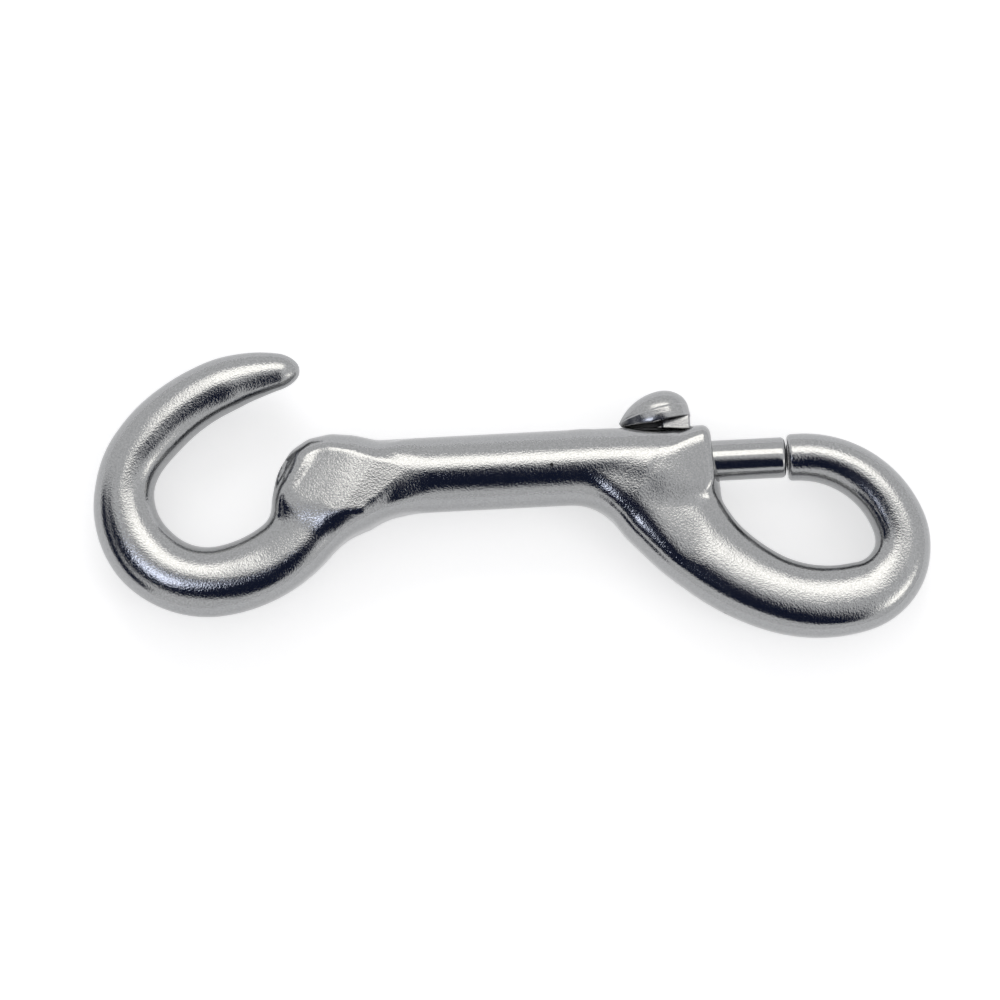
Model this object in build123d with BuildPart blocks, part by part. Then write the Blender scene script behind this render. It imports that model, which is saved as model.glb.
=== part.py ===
"""Bolt snap, about 110 mm long: an open hook and a spring-bolted loop, cast in one with the barrel between.

It is drawn about the barrel: X runs along the barrel's axis with zero at its mouth and the loop at +X, +Y is
the thumb knob's side, and Z = 0 is the casting's parting plane. At the end every piece is set down as the
snap lies on its side, with the middle of its box over the origin and the barrel's flank on Z = 0.
"""
from build123d import *
from math import cos, hypot, radians, sin
import os

# --- barrel ---
BARREL_D = 10.0
LIMB_X = -18.8  # where the loop's limb bends away from the barrel
NECK_X = -37.8  # where the hook's neck bends away from it
LEAD = 4.0  # how far each rod runs along the barrel before its first bend

# --- mouth: turned, and a little narrower than the barrel where it comes out of the limb ---
MOUTH_ROOT_X = -27.0
MOUTH_ROOT_D = 9.7
MOUTH_MIDDLE_X = -13.0
MOUTH_MIDDLE_D = 9.95
MOUTH_D = 9.4
MOUTH_RIM = 1.1  # rounding of the outer rim

# --- struck rear end of the barrel: pinched flat, so that it spreads into a low boss on the knob's side ---
REAR_ROOT_X = -35.0
REAR_STATIONS = [  # X, lowest Y, highest Y, thickness along Z
    (-44.0, -4.85, 4.95, 9.8),
    (-47.0, -4.7, 5.75, 9.6),
    (-50.0, -4.4, 6.1, 9.1),
    (-53.0, -4.1, 5.6, 8.1),
    (-55.4, -3.8, 4.1, 6.7),
    (-57.3, -3.3, 1.2, 4.4),
]
STRIKE_TOP = (-54.1, 5.0)  # chisel mark on either side, from here ...
STRIKE_BOTTOM = (-56.3, -0.2)  # ... down to here, at the foot of its steep wall
STRIKE_Z = 2.8  # height of that foot over the parting plane
STRIKE_WALL = (2.0, 3.2)  # the wall's run and rise
STRIKE_LAND = (5.0, 0.8)  # the same for the nose left behind it

# --- bolt, bore and seat ---
BOLT_D = 5.4
BOLT_CLEARANCE = 0.1  # on the radius
BOLT_LENGTH = 18.3  # short enough to go in from the rear, past the hook
BOLT_CHAMFER = 0.45
NOSE_GAP = 0.25  # between the bolt's nose and the loop's end
TRAVEL = 10.0  # the nose then stands level with the mouth
BORE_DEPTH = 50.5
MOUTH_RELIEF = 2.0  # the bore also trims the limb's edge just outside the mouth
SEAT_D = 3.8  # shallow dimple in the loop's end
SEAT_DEPTH = 0.5

# --- thumb knob ---
NECK_LENGTH = 3.8  # along the barrel
NECK_T = 2.6
NECK_FRONT_X = -2.5
SLOT_CLEARANCE = 0.2  # each side of the neck
SLOT_END_GAP = 0.3  # between the neck and each end of the slot
SLOT_CORNER_R = 0.4
STEM_D = 2.4
STEM_BOTTOM_Y = -1.9
DOME_REAR = (-11.9, 5.6)  # tip of the drop
DOME_FRONT = (-2.6, 7.5)
DOME_PEAK = 5.9  # along the base from the tip to the widest place
DOME_R = 3.1
DOME_STEPS = 6  # straight steps in each half of the drop's outline
RIM_T = 0.35
HOLLOW_SCALE = 0.76  # of the rim's outline
HOLLOW_MIDDLE = 5.3  # along the base
HOLLOW_DEPTH = 0.6

# --- loop rod: arcs of its middle line as (radius, turn in degrees), then sizes along it ---
UNDERSIDE_R = 7.15  # hollow where the limb leaves the barrel's underside
LOOP_ARCS = [(14.3, -62.2), (28.2, 35.7), (18.5, 40.5), (7.4, 93.1), (13.5, 72.9)]
LOOP_STRAIGHT = 1.3
FAN_LENGTH = 15.5  # along the first arc, where the limb spreads out of the barrel
LOOP_WIDTHS = [(0.0, 10.0), (3.7, 10.5), (7.5, 11.4), (11.2, 12.7), (FAN_LENGTH, 14.3), (18.4, 12.9),
               (24.5, 11.2), (33.7, 10.05), (46.0, 9.2), (55.0, 7.3), (76.6, 6.2)]
LOOP_THICKNESSES = [(0.0, 10.0), (4.0, 9.8), (FAN_LENGTH, 8.6), (24.0, 7.8), (37.0, 7.4), (55.0, 6.7),
                    (76.6, 6.1)]
LOOP_END_ROUND = 0.6

# --- hook rod: the same from the barrel's other end ---
HOOK_ARCS = [(22.5, 47.1), (17.9, -39.6), (11.2, -135.2), (25.2, -51.6)]
HOOK_STRAIGHT = 1.9
HOOK_WIDTHS = [(0.0, 10.0), (14.0, 9.2), (24.0, 9.35), (42.0, 9.25), (52.0, 7.8), (61.0, 8.2), (72.0, 7.4),
               (76.5, 6.1), (81.5, 3.9)]
HOOK_THICKNESSES = [(0.0, 10.0), (4.0, 9.8), (16.0, 8.4), (40.0, 7.6), (60.0, 7.0), (72.0, 6.2), (81.3, 3.6)]
HOOK_TIP_ROUND = 1.7
ROD_SECTION_COUNT = 32  # sections that each rod is skinned over
ROUNDING_STEPS = 4  # straight steps round a rounded end or rim
END_ROUND_LIMIT = 0.96  # share of a free end's half size that its rounding may take

# --- spring ---
WIRE_D = 0.55
COIL_D = 5.0  # over the wire
TURNS = 10
WIRE_SIDES = 5
SPRING_END_GAP = 0.02

# --- where the snap is set down ---
SET_DOWN = (26.76, 3.26, 5.01)

# --- worked out ---
BARREL_R = BARREL_D / 2
BORE_R = BOLT_D / 2 + BOLT_CLEARANCE
NECK_MIDDLE_X = NECK_FRONT_X - NECK_LENGTH / 2
SLOT_LENGTH = NECK_LENGTH + TRAVEL + 2 * SLOT_END_GAP
ROUNDING_TURNS = [radians(90 * i / ROUNDING_STEPS) for i in range(ROUNDING_STEPS + 1)]
HOLLOW_SHIFT = HOLLOW_MIDDLE * (1 - HOLLOW_SCALE)
SLOT_MIDDLE_X = NECK_FRONT_X + SLOT_END_GAP - SLOT_LENGTH / 2


def middle_line(start, direction, arcs, straight):
    """A lead-in, then a chain of tangent arcs, each with its radius and signed turn, then a straight end."""
    with BuildLine() as line:
        here, heading = Vector(start), Vector(direction)
        Line(here - heading * LEAD, here)
        for radius, turn in arcs:
            arc = JernArc(start=here, tangent=heading, radius=radius, arc_size=turn)
            here, heading = arc @ 1, arc % 1
        Line(here, here + heading * straight)
    return line.wires()[0]


def size_at(stops, distance):
    """Size at a distance along a rod, in straight steps between its stops."""
    distance = max(distance, stops[0][0])
    for (start, first), (end, last) in zip(stops, stops[1:]):
        if distance <= end:
            break
    share = min((distance - start) / (end - start), 1.0)
    return first + (last - first) * share


def rod_sections(line, widths, thicknesses, end_round, fan_shift=None):
    """Ellipses square to a middle line, drawn in along a quarter circle at the rod's free end.

    Along a fan, their right-hand edges keep to the hollow's radius. The rounding stays within the end's size.
    """
    end_round = min(end_round, END_ROUND_LIMIT * min(widths[-1][1], thicknesses[-1][1]) / 2)
    shank = line.length - end_round
    places = [(shank * i / (ROD_SECTION_COUNT - 1), 0.0) for i in range(ROD_SECTION_COUNT)]
    places += [(shank + end_round * sin(turn), end_round * (1 - cos(turn))) for turn in ROUNDING_TURNS[1:]]
    sections = []
    for along, inset in places:
        heading = line.tangent_at(along, PositionMode.LENGTH)
        right = heading.cross(Vector(0, 0, 1))
        middle = line.position_at(along, PositionMode.LENGTH)
        width = size_at(widths, along - LEAD)
        if fan_shift and along - LEAD < FAN_LENGTH:
            middle += right * (fan_shift - width / 2)
        with BuildSketch(Plane(middle, x_dir=right, z_dir=heading)) as section:
            Ellipse(width / 2 - inset, size_at(thicknesses, along - LEAD) / 2 - inset)
        sections.append(section.sketch)
    return sections


FAN_SHIFT = LOOP_ARCS[0][0] - UNDERSIDE_R
loop_line = middle_line((LIMB_X, FAN_SHIFT - BARREL_R), (1, 0), LOOP_ARCS, LOOP_STRAIGHT)
hook_line = middle_line((NECK_X, 0), (-1, 0), HOOK_ARCS, HOOK_STRAIGHT)
TIP_X = (loop_line @ 1).X
NOSE_X = TIP_X - NOSE_GAP
BOLT_REAR_X = NOSE_X - BOLT_LENGTH

# --- mouth of the barrel ---
with BuildPart() as mouth:
    with BuildSketch():
        rim = [(MOUTH_RIM * (sin(turn) - 1), MOUTH_D / 2 - MOUTH_RIM * (1 - cos(turn)))
               for turn in ROUNDING_TURNS]
        Polygon((MOUTH_ROOT_X, 0), (MOUTH_ROOT_X, MOUTH_ROOT_D / 2), (MOUTH_MIDDLE_X, MOUTH_MIDDLE_D / 2),
                *rim, (0, 0), align=None)
    revolve(axis=Axis.X)

# --- struck rear end of the barrel ---
with BuildPart() as rear_end:
    with BuildSketch(Plane.YZ.offset(REAR_STATIONS[0][0])):
        with Locations((sum(REAR_STATIONS[0][1:3]) / 2, 0)):
            Circle(REAR_STATIONS[0][3] / 2)
    extrude(amount=REAR_ROOT_X - REAR_STATIONS[0][0])
    for x, low, high, thickness in REAR_STATIONS:
        with BuildSketch(Plane((x, (low + high) / 2, 0), x_dir=(0, 1, 0), z_dir=(1, 0, 0))):
            Ellipse((high - low) / 2, thickness / 2)
    loft(ruled=True)

# --- rods ---
with BuildPart() as loop:
    loft(rod_sections(loop_line, LOOP_WIDTHS, LOOP_THICKNESSES, LOOP_END_ROUND, FAN_SHIFT), ruled=True)
with BuildPart() as hook:
    loft(rod_sections(hook_line, HOOK_WIDTHS, HOOK_THICKNESSES, HOOK_TIP_ROUND), ruled=True)

# --- chisel marks that close the barrel's rear ---
strike_heading = Vector(*STRIKE_BOTTOM) - Vector(*STRIKE_TOP)
strike_plane = Plane((*STRIKE_TOP, STRIKE_Z), x_dir=(-strike_heading.Y, strike_heading.X),
                     z_dir=strike_heading)
with BuildPart() as strike:
    with BuildSketch(strike_plane):
        Polygon((0, 0), STRIKE_WALL, (STRIKE_WALL[0], BARREL_R), (-STRIKE_LAND[0], BARREL_R),
                (-STRIKE_LAND[0], -STRIKE_LAND[1]), align=None)
    extrude(amount=strike_heading.length)
    extrude(faces().sort_by(Axis.Y)[-1], amount=2 * STRIKE_WALL[0])
    mirror(about=Plane.XY)

# --- body: one casting of barrel, mouth, struck end, loop and hook ---
with BuildPart() as body:
    with BuildSketch(Plane.YZ.offset(NECK_X + LEAD)):
        Circle(BARREL_R)
    extrude(amount=LIMB_X - NECK_X - 2 * LEAD)
    add([loop.part, hook.part, mouth.part, rear_end.part])
    add(strike.part, mode=Mode.SUBTRACT)

    # bore, slot for the knob's neck and dimple in the loop's end
    with BuildSketch(Plane.YZ.offset(-BORE_DEPTH)):
        Circle(BORE_R)
    extrude(amount=BORE_DEPTH + MOUTH_RELIEF, mode=Mode.SUBTRACT)
    with BuildSketch(Plane.XZ):
        with Locations((SLOT_MIDDLE_X, 0)):
            RectangleRounded(SLOT_LENGTH, NECK_T + 2 * SLOT_CLEARANCE, SLOT_CORNER_R)
    extrude(amount=-2 * BARREL_R, mode=Mode.SUBTRACT)
    with BuildSketch(Plane.XY):
        with BuildLine():
            Line((TIP_X + SEAT_DEPTH, 0), (TIP_X - SEAT_DEPTH, 0))
            Line((TIP_X - SEAT_DEPTH, 0), (TIP_X - SEAT_DEPTH, SEAT_D))
            Line((TIP_X - SEAT_DEPTH, SEAT_D), (TIP_X, SEAT_D / 2))
            TangentArc((TIP_X + SEAT_DEPTH, 0), (TIP_X, SEAT_D / 2), tangent=(0, 1))
        make_face()
    revolve(axis=Axis.X, mode=Mode.SUBTRACT)

# --- bolt: a turned pin with a blind cross hole for the knob's stem ---
with BuildPart() as bolt:
    with BuildSketch(Plane.YZ.offset(BOLT_REAR_X)):
        Circle(BOLT_D / 2)
    extrude(amount=BOLT_LENGTH)
    chamfer(bolt.edges().filter_by(GeomType.CIRCLE), BOLT_CHAMFER)
    with BuildSketch(Plane.XZ.offset(-STEM_BOTTOM_Y)):
        with Locations((NECK_MIDDLE_X, 0)):
            Circle(STEM_D / 2)
    extrude(amount=-BOLT_D, mode=Mode.SUBTRACT)

# --- thumb knob: drop-shaped dome on a thin rim, hollowed below, with a flat neck and a round stem ---
dome_length = hypot(DOME_FRONT[0] - DOME_REAR[0], DOME_FRONT[1] - DOME_REAR[1])
dome_axis = Vector(*DOME_FRONT) - Vector(*DOME_REAR)
dome_base = Plane((*DOME_REAR, 0), x_dir=dome_axis, z_dir=dome_axis.rotate(Axis.Z, 90))
with BuildPart() as thumb_knob:
    with BuildSketch(dome_base) as half_drop:
        with BuildLine():
            tail = TangentArc((DOME_PEAK, DOME_R), (0, 0), tangent=(-1, 0), mode=Mode.PRIVATE)
            front = EllipticalCenterArc((DOME_PEAK, 0), dome_length - DOME_PEAK, DOME_R, mode=Mode.PRIVATE)
            Polyline(*[front @ (i / DOME_STEPS) for i in range(DOME_STEPS)],
                     *[tail @ (i / DOME_STEPS) for i in range(DOME_STEPS + 1)], close=True)
        make_face()
    revolve(axis=Axis(dome_base.origin, dome_base.x_dir), revolution_arc=180)
    with BuildSketch(dome_base) as drop:
        add(half_drop.sketch_local)
        mirror(about=Plane.XZ)
    extrude(amount=-RIM_T)
    with BuildSketch(dome_base.offset(-RIM_T)):
        add(scale(drop.sketch_local, by=HOLLOW_SCALE, mode=Mode.PRIVATE).moved(Location((HOLLOW_SHIFT, 0))))
    extrude(amount=HOLLOW_DEPTH, mode=Mode.SUBTRACT)
    with BuildSketch(Plane.XZ):
        with Locations((NECK_MIDDLE_X, 0)):
            Rectangle(NECK_LENGTH, NECK_T)
    extrude(amount=-DOME_FRONT[1] + RIM_T)
    with BuildSketch(Plane.YZ.offset(NECK_FRONT_X)):
        Circle(BOLT_D / 2)
    extrude(amount=-NECK_LENGTH, mode=Mode.SUBTRACT)
    with BuildSketch(Plane.XZ.offset(-STEM_BOTTOM_Y)):
        with Locations((NECK_MIDDLE_X, 0)):
            Circle(STEM_D / 2)
    extrude(amount=-BOLT_D)

# --- spring, from the bore's blind end to the bolt; the wire is drawn with flats ---
wire_rear_x = -BORE_DEPTH + SPRING_END_GAP + WIRE_D / 2
spring_reach = BOLT_REAR_X - SPRING_END_GAP - WIRE_D / 2 - wire_rear_x
with BuildPart() as spring:
    with BuildLine() as coil:
        Helix(spring_reach / TURNS, spring_reach, (COIL_D - WIRE_D) / 2, (wire_rear_x, 0, 0), (1, 0, 0))
    with BuildSketch(Plane(coil.line @ 0, z_dir=coil.line % 0)):
        RegularPolygon(WIRE_D / 2, WIRE_SIDES)
    sweep(path=coil.line, is_frenet=True)

# --- set down on its side and written, one file per piece ---
for piece in (body, bolt, thumb_knob, spring):
    piece.part.move(Location(SET_DOWN))
body.part.label = "body"
bolt.part.label = "bolt"
thumb_knob.part.label = "thumb_knob"
spring.part.label = "spring"

os.makedirs("parts", exist_ok=True)
export_step(body.part, "parts/body.step")
export_step(bolt.part, "parts/bolt.step")
export_step(thumb_knob.part, "parts/thumb_knob.step")
export_step(spring.part, "parts/spring.step")
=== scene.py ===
# %% [markdown]
# # A bolt snap in Blender
# A bolt snap joins a lead or a strap to a ring. One plated casting is its open hook, its barrel and its
# loop. A sprung bolt slides in the barrel and closes the loop, and a thumb knob pulls the bolt back. The
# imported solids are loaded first. They say where everything is and which body each piece moves with, so the
# finer pieces made here are measured from them.

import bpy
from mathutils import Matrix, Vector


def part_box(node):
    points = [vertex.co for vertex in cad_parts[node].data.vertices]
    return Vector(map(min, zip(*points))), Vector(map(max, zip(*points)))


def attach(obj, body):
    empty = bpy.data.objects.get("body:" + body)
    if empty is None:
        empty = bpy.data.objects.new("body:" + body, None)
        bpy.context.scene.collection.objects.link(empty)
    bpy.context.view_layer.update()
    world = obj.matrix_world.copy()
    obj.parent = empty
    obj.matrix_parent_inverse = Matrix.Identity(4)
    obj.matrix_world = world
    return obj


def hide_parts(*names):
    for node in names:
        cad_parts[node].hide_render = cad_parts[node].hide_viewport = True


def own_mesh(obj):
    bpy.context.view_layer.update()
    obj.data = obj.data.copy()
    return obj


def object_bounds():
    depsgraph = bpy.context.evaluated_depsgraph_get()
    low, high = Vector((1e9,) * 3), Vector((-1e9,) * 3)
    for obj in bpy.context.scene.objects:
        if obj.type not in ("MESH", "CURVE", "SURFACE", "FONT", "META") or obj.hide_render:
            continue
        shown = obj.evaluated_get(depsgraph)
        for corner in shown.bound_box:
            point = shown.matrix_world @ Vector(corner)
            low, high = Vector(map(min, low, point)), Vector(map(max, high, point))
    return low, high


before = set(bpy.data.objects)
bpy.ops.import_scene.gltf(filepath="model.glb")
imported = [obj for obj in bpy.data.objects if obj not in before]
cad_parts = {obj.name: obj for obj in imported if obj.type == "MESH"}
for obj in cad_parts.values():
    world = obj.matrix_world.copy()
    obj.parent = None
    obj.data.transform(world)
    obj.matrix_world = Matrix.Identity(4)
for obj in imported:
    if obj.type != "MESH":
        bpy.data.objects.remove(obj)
cad_box = [list(corner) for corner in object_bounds()]

# %% [markdown]
# ## Where to measure from
# Everything on a bolt snap is turned or bent about the barrel, so its sizes are easiest to give in
# millimetres from the middle of the barrel's mouth: X along the bolt towards the loop, Y towards the thumb
# knob and Z up from the plane where the two halves of the mould met. The bolt's box says where that point
# lies in the scene.

# %% Millimetres from the barrel's mouth
import bpy
import math
import numpy as np
from mathutils import Matrix, Vector

NOSE_X = 9.77  # how far the closed bolt stands out of the barrel's mouth
bolt_low, bolt_high = (np.array(corner) * 1000 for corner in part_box("bolt"))
MOUTH = np.array([bolt_high[0] - NOSE_X, *(bolt_low + bolt_high)[1:] / 2])


def metres(points):
    """Millimetres from the barrel's mouth, as metres in the scene: add the mouth's place, divide by 1000."""
    return (np.asarray(points, dtype=float) + MOUTH) / 1000


print("the mouth's middle is at", MOUTH.round(2), "mm")

# %% [markdown]
# ## A skin from a grid of points
# Every piece here is a tube of some kind: a ring of points carried along a line, and closed to a point at
# both ends. So one helper is enough to turn a grid of points into a closed mesh whose faces point outwards.


# %% Closed mesh from rings of points
def ring_faces(ring_count, ring_size):
    """Faces over rings of points: quads between neighbouring rings, and a fan of triangles at each end.

    Point j of ring i has number i * ring_size + j; the two poles come last.
    """
    number = np.arange(ring_count * ring_size).reshape(ring_count, ring_size)
    after = np.roll(number, -1, axis=1)
    quads = np.stack([number[:-1], after[:-1], after[1:], number[1:]], axis=-1).reshape(-1, 4)
    first_pole, last_pole = number.size, number.size + 1
    first_fan = np.stack([np.full(ring_size, first_pole), after[0], number[0]], axis=-1)
    last_fan = np.stack([np.full(ring_size, last_pole), number[-1], after[-1]], axis=-1)
    return quads.tolist() + first_fan.tolist() + last_fan.tolist()


def piece_from_rings(name, rings):
    """Object with a closed, smooth mesh over rings[i, j] = (x, y, z), given in millimetres from the mouth."""
    poles = [rings[0].mean(axis=0), rings[-1].mean(axis=0)]
    points = metres(np.concatenate([rings.reshape(-1, 3), poles]))
    mesh = bpy.data.meshes.new(name)
    mesh.from_pydata(points.tolist(), [], ring_faces(*rings.shape[:2]))
    mesh.shade_smooth()
    piece = bpy.data.objects.new(name, mesh)
    bpy.context.scene.collection.objects.link(piece)
    print(name, "has", len(mesh.polygons), "faces")
    return piece


# %% [markdown]
# ## Sizes that change along the casting
# A pattern maker gives a tapering rod a few sizes at set places and blends between them by eye. Straight
# steps between those sizes would leave a crease at each one, and creases show badly in plated metal. So
# each size is averaged over a short reach, which rounds its corners.

# %% Eased steps
EASE_SAMPLES = 61  # places that each average is taken over


def eased(stops, at, reach=2.0):
    """Size at each distance: straight steps between (distance, size) stops, averaged over +-reach.

    The average counts near places most: its weights are one plus the cosine of the share of the reach.
    """
    places, sizes = np.array(stops, dtype=float).T
    share = np.linspace(-1, 1, EASE_SAMPLES)
    weights = 1 + np.cos(math.pi * share)
    near = np.array([np.interp(at + reach * part, places, sizes) for part in share])
    return np.tensordot(weights / weights.sum(), near, axes=1)


print("half way up an eased step from 0 to 1:", eased([(0, 0), (4, 0), (4.1, 1), (8, 1)], 4.05).round(2))

# %% [markdown]
# ## The rods' middle lines
# Hook and loop are each a rod that bends in arcs, one running into the next. Along an arc the heading turns
# steadily, by one over the radius for each millimetre. Adding up small steps along the heading gives the
# line. The turning is eased as well, because a bent rod never jumps from one radius to another.

# %% Middle lines of loop and hook
LEAD = 4.0  # both rods start inside the barrel, this far before their first bend
BARREL_R = 5.0
LIMB_X, NECK_X = -18.8, -37.8  # where loop and hook bend away from the barrel
UNDERSIDE_R = 7.15  # hollow where the loop's limb leaves the barrel's underside
LOOP_ARCS = [  # radius, turn in degrees
    (14.3, -62.2), (28.2, 35.7), (18.5, 40.5), (7.4, 93.1), (13.5, 72.9)]
HOOK_ARCS = [(22.5, 47.1), (17.9, -39.6), (11.2, -135.2), (25.2, -51.6)]
LOOP_STRAIGHT, HOOK_STRAIGHT = 1.3, 1.9
LINE_POINTS, BEND_EASE = 4001, 1.2


def rod_line(start, first_heading, arcs, straight):
    """Distances, places and headings along a rod: the heading is eased steps, the place its running sum."""
    lengths = [LEAD] + [radius * math.radians(abs(turn)) for radius, turn in arcs] + [straight]
    turns = [0.0] + [turn for _, turn in arcs] + [0.0]
    stops = np.concatenate([[-LEAD], np.cumsum(lengths) - LEAD])
    headings = np.radians(first_heading + np.concatenate([[0.0], np.cumsum(turns)]))
    distance = np.linspace(-LEAD, stops[-1], LINE_POINTS)
    heading = eased(list(zip(stops, headings)), distance, reach=BEND_EASE)
    step = distance[1] - distance[0]
    ahead = np.stack([np.cos(heading), np.sin(heading)], axis=-1)
    travelled = np.concatenate([[[0.0, 0.0]], np.cumsum((ahead[1:] + ahead[:-1]) / 2, axis=0)]) * step
    places = np.array(start) - LEAD * ahead[0] + travelled
    return distance, places, heading


FAN_SHIFT = LOOP_ARCS[0][0] - UNDERSIDE_R
loop_line = rod_line((LIMB_X, FAN_SHIFT - BARREL_R), 0.0, LOOP_ARCS, LOOP_STRAIGHT)
hook_line = rod_line((NECK_X, 0.0), 180.0, HOOK_ARCS, HOOK_STRAIGHT)
print("loop ends at", loop_line[1][-1].round(2), "hook ends at", hook_line[1][-1].round(2))

# %% [markdown]
# ## Rings along the rods
# The casting is skinned over rings square to these lines, from the hook's tip, along the barrel, to the
# loop's end. They are closer together at the two ends of the barrel, where the shape changes fastest. The
# hook's tip is rounded over, and the loop's end has a rounded rim and the shallow dimple that the bolt's
# nose closes against.

# %% Where each ring stands
HOOK_TIP_ROUND, HOOK_TIP_LENGTH = 1.85, 2.7  # how far the tip's rounding pulls in, and over what length
LOOP_RIM_ROUND = 0.6
SEAT_R, SEAT_DEPTH = 1.9, 0.5
LOOP_LENGTH, HOOK_LENGTH = loop_line[0][-1], hook_line[0][-1]
FINE_REACH = 18.5  # how far out from the barrel the rings stay close together
FINE_STEP, STEP = 0.13, 0.27
END_FACE_RINGS = 3  # on the flat face between the loop's rim and its dimple
END_GAP = 0.1  # between the last ring of a rod and the first of its rounding


def rounding(radius, count):
    """Distances into a rounded end, and how far it pulls in there: a quarter circle from edge to crown."""
    turn = np.linspace(0, math.pi / 2, count)
    return radius * np.sin(turn), radius * (1 - np.cos(turn))


tip_in, tip_inset = rounding(HOOK_TIP_ROUND, 16)
tip_in = tip_in * HOOK_TIP_LENGTH / HOOK_TIP_ROUND
rim_in, rim_inset = rounding(LOOP_RIM_ROUND, 8)
seat_radius = np.linspace(SEAT_R, 0.02, 12)
seat_ball = (SEAT_R ** 2 + SEAT_DEPTH ** 2) / (2 * SEAT_DEPTH)
seat_in = np.sqrt(seat_ball ** 2 - seat_radius ** 2) - (seat_ball - SEAT_DEPTH)

hook_at = np.concatenate([
    (HOOK_LENGTH - HOOK_TIP_LENGTH + tip_in)[::-1],
    np.arange(HOOK_LENGTH - HOOK_TIP_LENGTH - END_GAP, FINE_REACH, -STEP),
    np.arange(FINE_REACH, -LEAD, -FINE_STEP)])
loop_at = np.concatenate([
    np.arange(-LEAD, FINE_REACH, FINE_STEP),
    np.arange(FINE_REACH, LOOP_LENGTH - LOOP_RIM_ROUND - END_GAP, STEP),
    LOOP_LENGTH - LOOP_RIM_ROUND + rim_in,
    np.full(END_FACE_RINGS, LOOP_LENGTH),
    LOOP_LENGTH - seat_in])
barrel_at = np.linspace(NECK_X + LEAD, LIMB_X - LEAD, 30)[1:-1]
print(len(hook_at), "rings on the hook,", len(barrel_at), "on the barrel,", len(loop_at), "on the loop")

# %% [markdown]
# ## How thick the rods are
# Seen from above, the loop's limb spreads out of the barrel like a fan and then tapers all the way round to
# the bolt. From the side it does the opposite: it thins down at once, which gives the flat, oval section
# that sits well against a ring. Each stop is a distance from the barrel and the size there.

# %% Widths and thicknesses
FAN_LENGTH = 15.5
LOOP_WIDTHS = [
    (0, 10), (3.7, 10.5), (7.5, 11.4), (11.2, 12.7), (FAN_LENGTH, 14.4), (18.4, 12.9), (24.5, 11.2),
    (33.7, 10.05), (46, 9.2), (55, 7.3), (76.6, 6.2)]
LOOP_THICKNESSES = [(0, 10), (4, 9.8), (FAN_LENGTH, 8.6), (24, 7.8), (37, 7.4), (55, 6.7), (76.6, 6.1)]
HOOK_WIDTHS = [
    (0, 10), (14, 9.2), (24, 9.35), (42, 9.25), (52, 7.8), (61, 8.2), (72, 7.4), (76.5, 6.1), (81.5, 3.9)]
HOOK_THICKNESSES = [(0, 10), (8, 9.8), (16, 8.6), (24, 7.9), (40, 7.5), (60, 7.0), (72, 6.2), (81.3, 3.6)]
LOOP_SQUARENESS = [  # the power of the oval's formula: 2 is an ellipse, and more is squarer
    (0, 2), (5, 2.2), (11, 2.9), (18, 2.7), (27, 2.3), (45, 2.35), (60, 2.2), (72, 2)]
HOOK_SQUARENESS = [(0, 2), (4, 3.0), (8, 3.4), (14, 3.0), (24, 2.3), (32, 2)]
LOOP_WEDGES = [  # by what share the rod is thinner at its inner edge
    (2, 0), (8, 0.16), (14, 0.2), (22, 0.18), (34, 0.1), (48, 0.08), (58, 0)]
HOOK_WEDGES = [(13, 0), (20, 0.16), (24, 0.16), (34, 0)]
FAN_STOPS = 5  # the first widths of the loop are the fan's
FAN_SHIFTS = [(at, FAN_SHIFT - width / 2) for at, width in LOOP_WIDTHS[:FAN_STOPS]]
FAN_SHIFTS += [(FAN_LENGTH + 0.1, 0), (90, 0)]
print("the fan spreads from", LOOP_WIDTHS[0][1], "to", LOOP_WIDTHS[FAN_STOPS - 1][1], "mm")

# %% [markdown]
# ## Half sizes of the rings
# The stops become two half sizes for each ring. The roundings pull in the last rings of the hook's tip and
# of the loop's rim. After the rim come the flat face of the loop's end and its dimple.

# %% Half sizes of the rings
SMALLEST_HALF = 0.05  # the rings at the hook's very tip stay this large
hook_half = np.stack([eased(HOOK_WIDTHS, hook_at), eased(HOOK_THICKNESSES, hook_at)]) / 2
hook_half[:, :len(tip_inset)] -= tip_inset[::-1]
hook_half = np.maximum(hook_half, SMALLEST_HALF)
loop_half = np.stack([eased(LOOP_WIDTHS, loop_at), eased(LOOP_THICKNESSES, loop_at)]) / 2
seat_from = len(loop_at) - len(seat_radius)  # number of the dimple's first ring, after those of rim and face
face_from = seat_from - END_FACE_RINGS
loop_half[:, face_from - len(rim_inset):face_from] -= rim_inset
face_steps = np.linspace(loop_half[:, face_from - 1], (SEAT_R, SEAT_R), END_FACE_RINGS + 2)
loop_half[:, face_from:seat_from] = face_steps[1:-1].T
loop_half[:, seat_from:] = seat_radius
barrel_half = np.full((2, len(barrel_at)), BARREL_R)
for limb, half in (("hook", hook_half), ("loop", loop_half)):
    print("the", limb, "is up to", (2 * half[0].max()).round(2), "mm wide")

# %% [markdown]
# ## The rings' frames
# Each ring needs its middle, the direction to its left as one walks from the hook's tip to the loop's end,
# and its two half sizes. Along the fan the middle moves aside, so that the inside of the bend keeps its
# hollow.


# %% Middles, left-hand directions and half sizes
def along(line, at):
    """Middle and heading of a line at each distance, read off between its points."""
    distance, places, heading = line
    middles = np.stack([np.interp(at, distance, places[:, axis]) for axis in (0, 1)], axis=-1)
    return middles, np.interp(at, distance, heading)


hook_middle, hook_heading = along(hook_line, hook_at)
loop_middle, loop_heading = along(loop_line, loop_at)
loop_right = np.stack([np.sin(loop_heading), -np.cos(loop_heading)], axis=-1)
loop_middle = loop_middle + loop_right * eased(FAN_SHIFTS, loop_at)[:, None]
barrel_middle = np.stack([barrel_at, 0 * barrel_at], axis=-1)

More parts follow.
